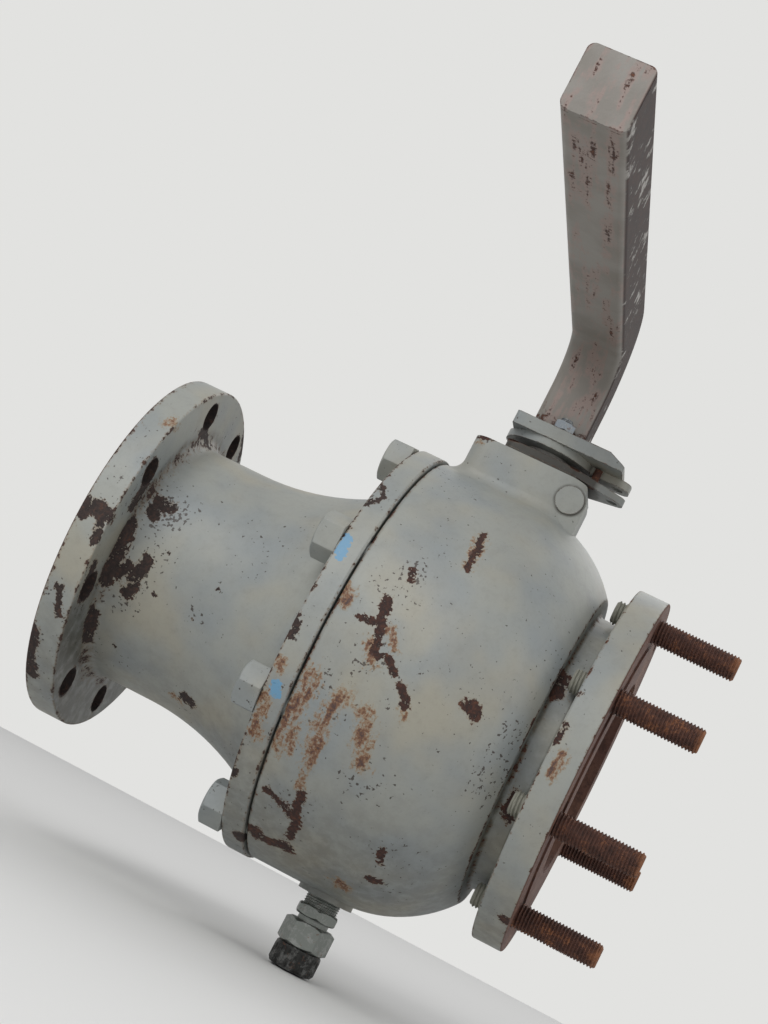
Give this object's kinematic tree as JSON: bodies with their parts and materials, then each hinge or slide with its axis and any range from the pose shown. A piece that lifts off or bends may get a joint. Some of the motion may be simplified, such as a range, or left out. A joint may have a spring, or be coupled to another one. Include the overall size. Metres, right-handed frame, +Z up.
{
  "type": "trunnion ball valve",
  "caption": "Flanged two-piece ball valve with a trunnion-mounted ball, lever head and cranked lever, outlet studs and a drain fitting below, in worn pale grey paint.",
  "frame": {"origin": "centre of the bore at the raised face of the inlet flange", "axes": "+X along the bore from inlet to outlet, +Z up the stem, -Y the way the lever points when the valve is shut"},
  "size_m": [0.456, 0.618, 0.548],
  "materials": {
    "painted_casting": "weathered pale grey paint over cast steel, chipped to rust",
    "painted_screws": "pale grey paint on hexagon heads",
    "rusty_steel": "brown rust on bare steel",
    "dark_steel": "dark weathered steel",
    "lever_paint": "worn grey paint with rust streaks",
    "blue_painted_steel": "pale blue paint, worn",
    "zinc_steel": "dull zinc plating",
    "polished_ball": "hard chrome, faintly brushed",
    "seat_steel": "turned steel",
    "seat_polymer": "off-white polymer",
    "bearing_bronze": "plain bearing bronze",
    "gasket_graphite": "dark graphite filler"
  },
  "bodies": {
    "valve": {"inlet_end": "painted_casting", "valve_body": "painted_casting", "joint_gasket": "gasket_graphite", "joint_cap_screws": "painted_screws", "outlet_studs": "rusty_steel", "inlet_seat_ring": "seat_steel", "inlet_seat_insert": "seat_polymer", "outlet_seat_ring": "seat_steel", "outlet_seat_insert": "seat_polymer", "upper_trunnion_plate": "dark_steel", "lower_trunnion_plate": "dark_steel", "upper_trunnion_bush": "bearing_bronze", "lower_trunnion_bush": "bearing_bronze", "stem_thrust_washer": "bearing_bronze", "stem_bearing": "bearing_bronze", "stem_packing": "gasket_graphite", "gland_flange": "dark_steel", "gland_screws": "dark_steel", "lock_plate": "rusty_steel", "stop_pins": "dark_steel", "body_plug": "painted_casting", "drain_adaptor": "zinc_steel", "drain_valve": "zinc_steel", "drain_cap": "dark_steel"},
    "ball_and_lever": {"ball": "polished_ball", "stem": "dark_steel", "lever_head": "lever_paint", "lever_lock_plate": "rusty_steel", "lever_head_bolts": "blue_painted_steel", "lever_arm": "lever_paint", "lever_end_cap": "lever_paint"}
  },
  "joints": [
    {"name": "lever_turn", "type": "hinge", "parent": "valve", "child": "ball_and_lever", "pos_m": [0.261, 0, 0], "axis": [0, 0, 1], "range_deg": [0, 90]}
  ]
}
